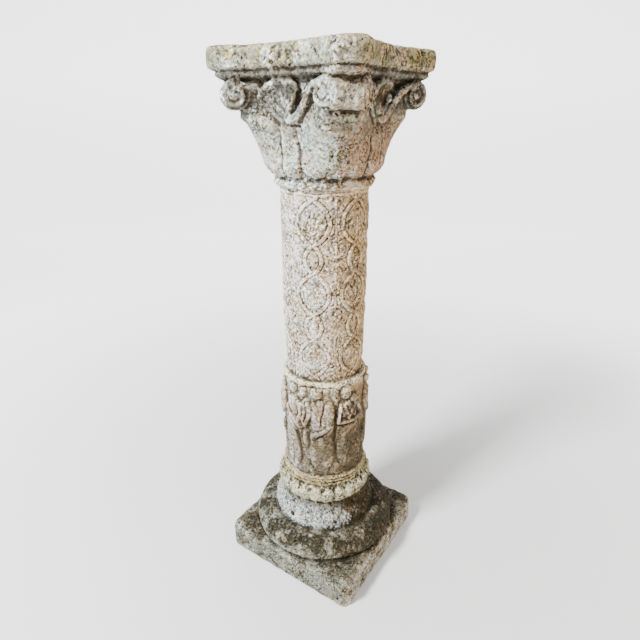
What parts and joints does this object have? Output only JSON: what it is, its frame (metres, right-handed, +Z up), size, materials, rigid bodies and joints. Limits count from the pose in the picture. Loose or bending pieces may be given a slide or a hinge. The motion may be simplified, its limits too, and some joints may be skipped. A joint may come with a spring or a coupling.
{
  "type": "carved column pedestal",
  "caption": "Weathered cast-stone column pedestal with a leafed capital, a carved round shaft and a moulded square base.",
  "frame": {"origin": "centre of the plinth's underside, on the floor", "axes": "+Z up the column's axis, X and Y square to the plinth's sides"},
  "size_m": [0.322, 0.322, 1.06],
  "materials": {
    "cast_stone_base": "weathered cast stone, pitted, with lichen",
    "cast_stone_shaft": "weathered cast stone, pitted, with lichen",
    "cast_stone_capital": "weathered cast stone, pitted, with lichen"
  },
  "bodies": {
    "root": {"base": "cast_stone_base", "shaft": "cast_stone_shaft", "capital": "cast_stone_capital"}
  },
  "joints": []
}
